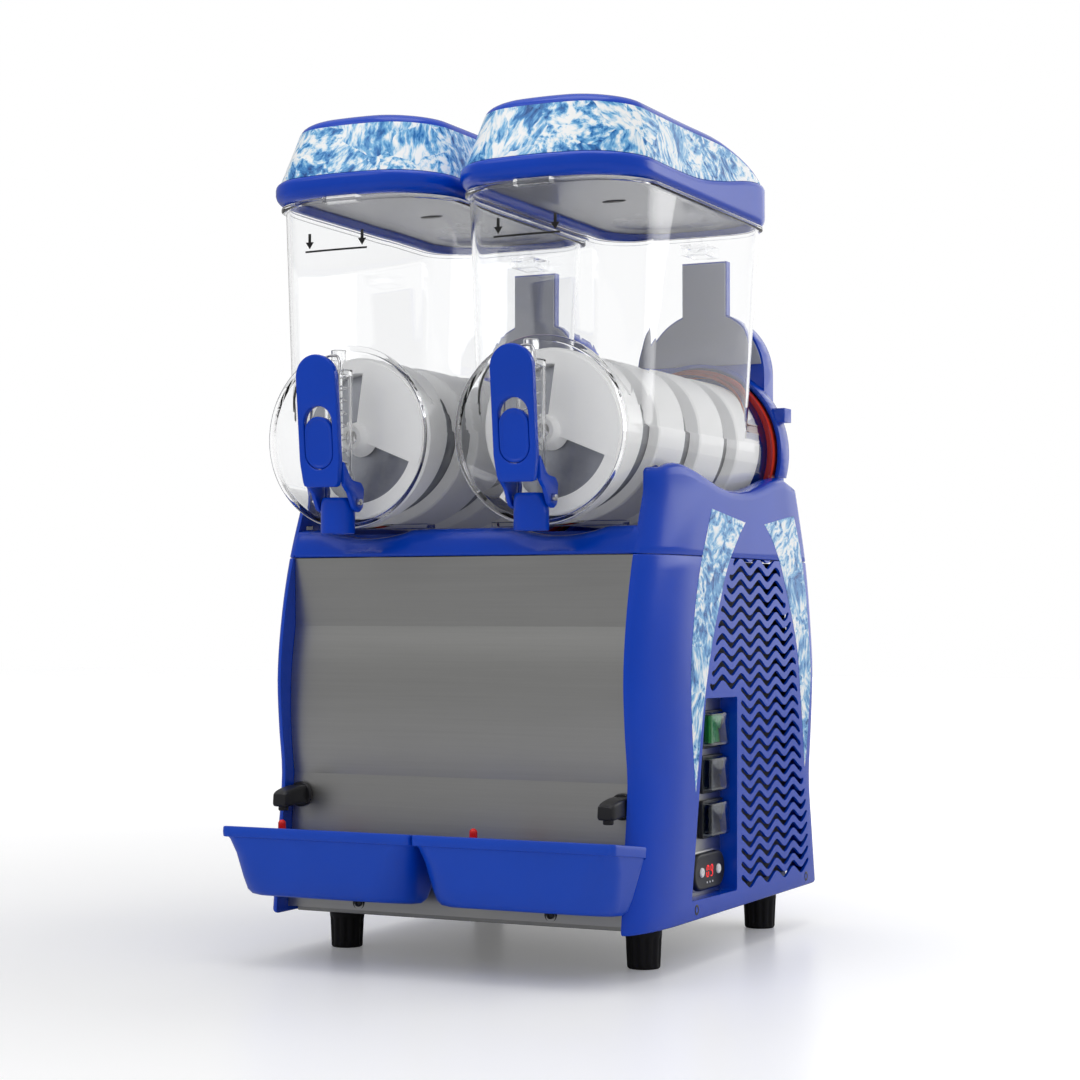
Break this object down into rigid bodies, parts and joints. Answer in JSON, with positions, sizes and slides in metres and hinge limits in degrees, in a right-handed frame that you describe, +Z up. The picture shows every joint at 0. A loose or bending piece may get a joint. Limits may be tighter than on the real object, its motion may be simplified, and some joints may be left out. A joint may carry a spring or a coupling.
{
  "type": "slush machine",
  "caption": "Twin-bowl countertop slush dispenser: blue casing with steel front, clear hopper bowls on lying evaporators with spiral augers, pull taps, lids and drip trays.",
  "frame": {"origin": "on the counter under the middle of the machine's box, at the bottom of the feet", "axes": "+Z up, -Y towards the customer at the taps, +X to the customer's right, the side with the switches"},
  "size_m": [0.4, 0.5292, 0.802],
  "materials": {
    "blue": "royal blue moulded plastic, satin gloss",
    "tray_blue": "blue moulded plastic, satin",
    "steel": "brushed stainless steel",
    "clear": "clear polycarbonate",
    "white": "white food-grade plastic, satin",
    "grey": "grey plastic",
    "diffuser": "translucent grey plastic",
    "ice_print": "blue and white printed film",
    "gasket": "red silicone rubber",
    "black": "black plastic",
    "float_red": "red plastic",
    "foot_rubber": "black rubber",
    "chassis": "zinc-plated steel sheet",
    "machinery": "black painted steel",
    "motor_grey": "grey painted metal",
    "fin": "aluminium fins",
    "shaft_steel": "ground stainless steel",
    "dark_screw": "dark plated screws"
  },
  "bodies": {
    "cabinet": {"feet": "foot_rubber", "base_chassis": "chassis", "front_panel": "steel", "side_left": "blue", "side_right": "blue", "shoulder_left": "blue", "shoulder_right": "blue", "deck": "blue", "rear_cover": "blue", "control_plate": "steel", "thermostat": "black", "compressor": "machinery", "condenser": "fin", "fan_motor": "motor_grey", "power_inlet": "black", "panel_screws": "dark_screw", "drain_spouts": "black", "gearmotors": "motor_grey", "evaporators": "shaft_steel", "column_housings": "blue", "column_faces": "grey", "column_connectors": "clear", "gasket_left": "gasket", "gasket_right": "gasket"},
    "bowl_left": {"bowl_left": "clear", "spout_block_left": "blue", "lever_pins_left": "shaft_steel", "tap_spring_left": "shaft_steel"},
    "lid_left": {"lid_shell_left": "blue", "lid_band_left": "ice_print", "lid_diffuser_left": "diffuser"},
    "auger_left": {"auger_left": "white", "drive_shaft_left": "shaft_steel"},
    "lever_left": {"tap_lever_left": "blue", "lever_insert_left": "blue"},
    "piston_left": {"tap_piston_left": "clear"},
    "tray_left": {"drip_tray_left": "tray_blue", "tray_grille_left": "steel"},
    "float_left": {"tray_float_left": "float_red"},
    "bowl_right": {"bowl_right": "clear", "spout_block_right": "blue", "lever_pins_right": "shaft_steel", "tap_spring_right": "shaft_steel"},
    "lid_right": {"lid_shell_right": "blue", "lid_band_right": "ice_print", "lid_diffuser_right": "diffuser"},
    "auger_right": {"auger_right": "white", "drive_shaft_right": "shaft_steel"},
    "lever_right": {"tap_lever_right": "blue", "lever_insert_right": "blue"},
    "piston_right": {"tap_piston_right": "clear"},
    "tray_right": {"drip_tray_right": "tray_blue", "tray_grille_right": "steel"},
    "float_right": {"tray_float_right": "float_red"},
    "rocker_top": {"rocker_top": "black"},
    "rocker_middle": {"rocker_middle": "black"},
    "rocker_bottom": {"rocker_bottom": "black"},
    "button_front": {"thermostat_button_front": "white"},
    "button_rear": {"thermostat_button_rear": "white"},
    "fan": {"fan_blades": "black"}
  },
  "joints": [
    {"name": "bowl_pull_left", "type": "slide", "parent": "cabinet", "child": "bowl_left", "axis": [0, -1, 0], "range_m": [0, 0.4]},
    {"name": "lid_lift_left", "type": "slide", "parent": "bowl_left", "child": "lid_left", "axis": [0, 0, 1], "range_m": [0, 0.15]},
    {"name": "auger_spin_left", "type": "hinge", "parent": "cabinet", "child": "auger_left", "pos_m": [-0.1, 0, 0.49], "axis": [0, 1, 0], "continuous": true},
    {"name": "lever_pull_left", "type": "hinge", "parent": "bowl_left", "child": "lever_left", "pos_m": [-0.1, -0.221, 0.428], "axis": [1, 0, 0], "range_deg": [0, 30], "stiffness_Nm_per_rad": 1.6, "springref_deg": -14.32},
    {"name": "piston_lift_left", "type": "slide", "parent": "bowl_left", "child": "piston_left", "axis": [0, 0, 1], "range_m": [0, 0.012], "deforming": ["tap_spring_left"]},
    {"name": "tray_lift_left", "type": "slide", "parent": "cabinet", "child": "tray_left", "axis": [0, -0.9397, 0.342], "range_m": [0, 0.2]},
    {"name": "float_rise_left", "type": "slide", "parent": "tray_left", "child": "float_left", "axis": [0, 0, 1], "range_m": [0, 0.012]},
    {"name": "bowl_pull_right", "type": "slide", "parent": "cabinet", "child": "bowl_right", "axis": [0, -1, 0], "range_m": [0, 0.4]},
    {"name": "lid_lift_right", "type": "slide", "parent": "bowl_right", "child": "lid_right", "axis": [0, 0, 1], "range_m": [0, 0.15]},
    {"name": "auger_spin_right", "type": "hinge", "parent": "cabinet", "child": "auger_right", "pos_m": [0.1, 0, 0.49], "axis": [0, 1, 0], "continuous": true},
    {"name": "lever_pull_right", "type": "hinge", "parent": "bowl_right", "child": "lever_right", "pos_m": [0.1, -0.221, 0.428], "axis": [1, 0, 0], "range_deg": [0, 30], "stiffness_Nm_per_rad": 1.6, "springref_deg": -14.32},
    {"name": "piston_lift_right", "type": "slide", "parent": "bowl_right", "child": "piston_right", "axis": [0, 0, 1], "range_m": [0, 0.012], "deforming": ["tap_spring_right"]},
    {"name": "tray_lift_right", "type": "slide", "parent": "cabinet", "child": "tray_right", "axis": [0, -0.9397, 0.342], "range_m": [0, 0.2]},
    {"name": "float_rise_right", "type": "slide", "parent": "tray_right", "child": "float_right", "axis": [0, 0, 1], "range_m": [0, 0.012]},
    {"name": "rocker_top_tilt", "type": "hinge", "parent": "cabinet", "child": "rocker_top", "pos_m": [0.1834, -0.004, 0.215], "axis": [0, 0, 1], "range_deg": [-16, 0]},
    {"name": "rocker_middle_tilt", "type": "hinge", "parent": "cabinet", "child": "rocker_middle", "pos_m": [0.1834, -0.004, 0.1725], "axis": [0, 0, 1], "range_deg": [-16, 0]},
    {"name": "rocker_bottom_tilt", "type": "hinge", "parent": "cabinet", "child": "rocker_bottom", "pos_m": [0.1834, -0.004, 0.13], "axis": [0, 0, 1], "range_deg": [-16, 0]},
    {"name": "button_front_press", "type": "slide", "parent": "cabinet", "child": "button_front", "axis": [-1, 0, 0], "range_m": [0, 0.001], "stiffness_N_per_m": 400},
    {"name": "button_rear_press", "type": "slide", "parent": "cabinet", "child": "button_rear", "axis": [-1, 0, 0], "range_m": [0, 0.001], "stiffness_N_per_m": 400},
    {"name": "fan_spin", "type": "hinge", "parent": "cabinet", "child": "fan", "pos_m": [0.112, 0.125, 0.15], "axis": [1, 0, 0], "continuous": true}
  ],
  "couplings": [
    {"joint": "piston_lift_left", "follows": "lever_pull_left", "m_per_rad": 0.0225},
    {"joint": "piston_lift_right", "follows": "lever_pull_right", "m_per_rad": 0.0225}
  ]
}
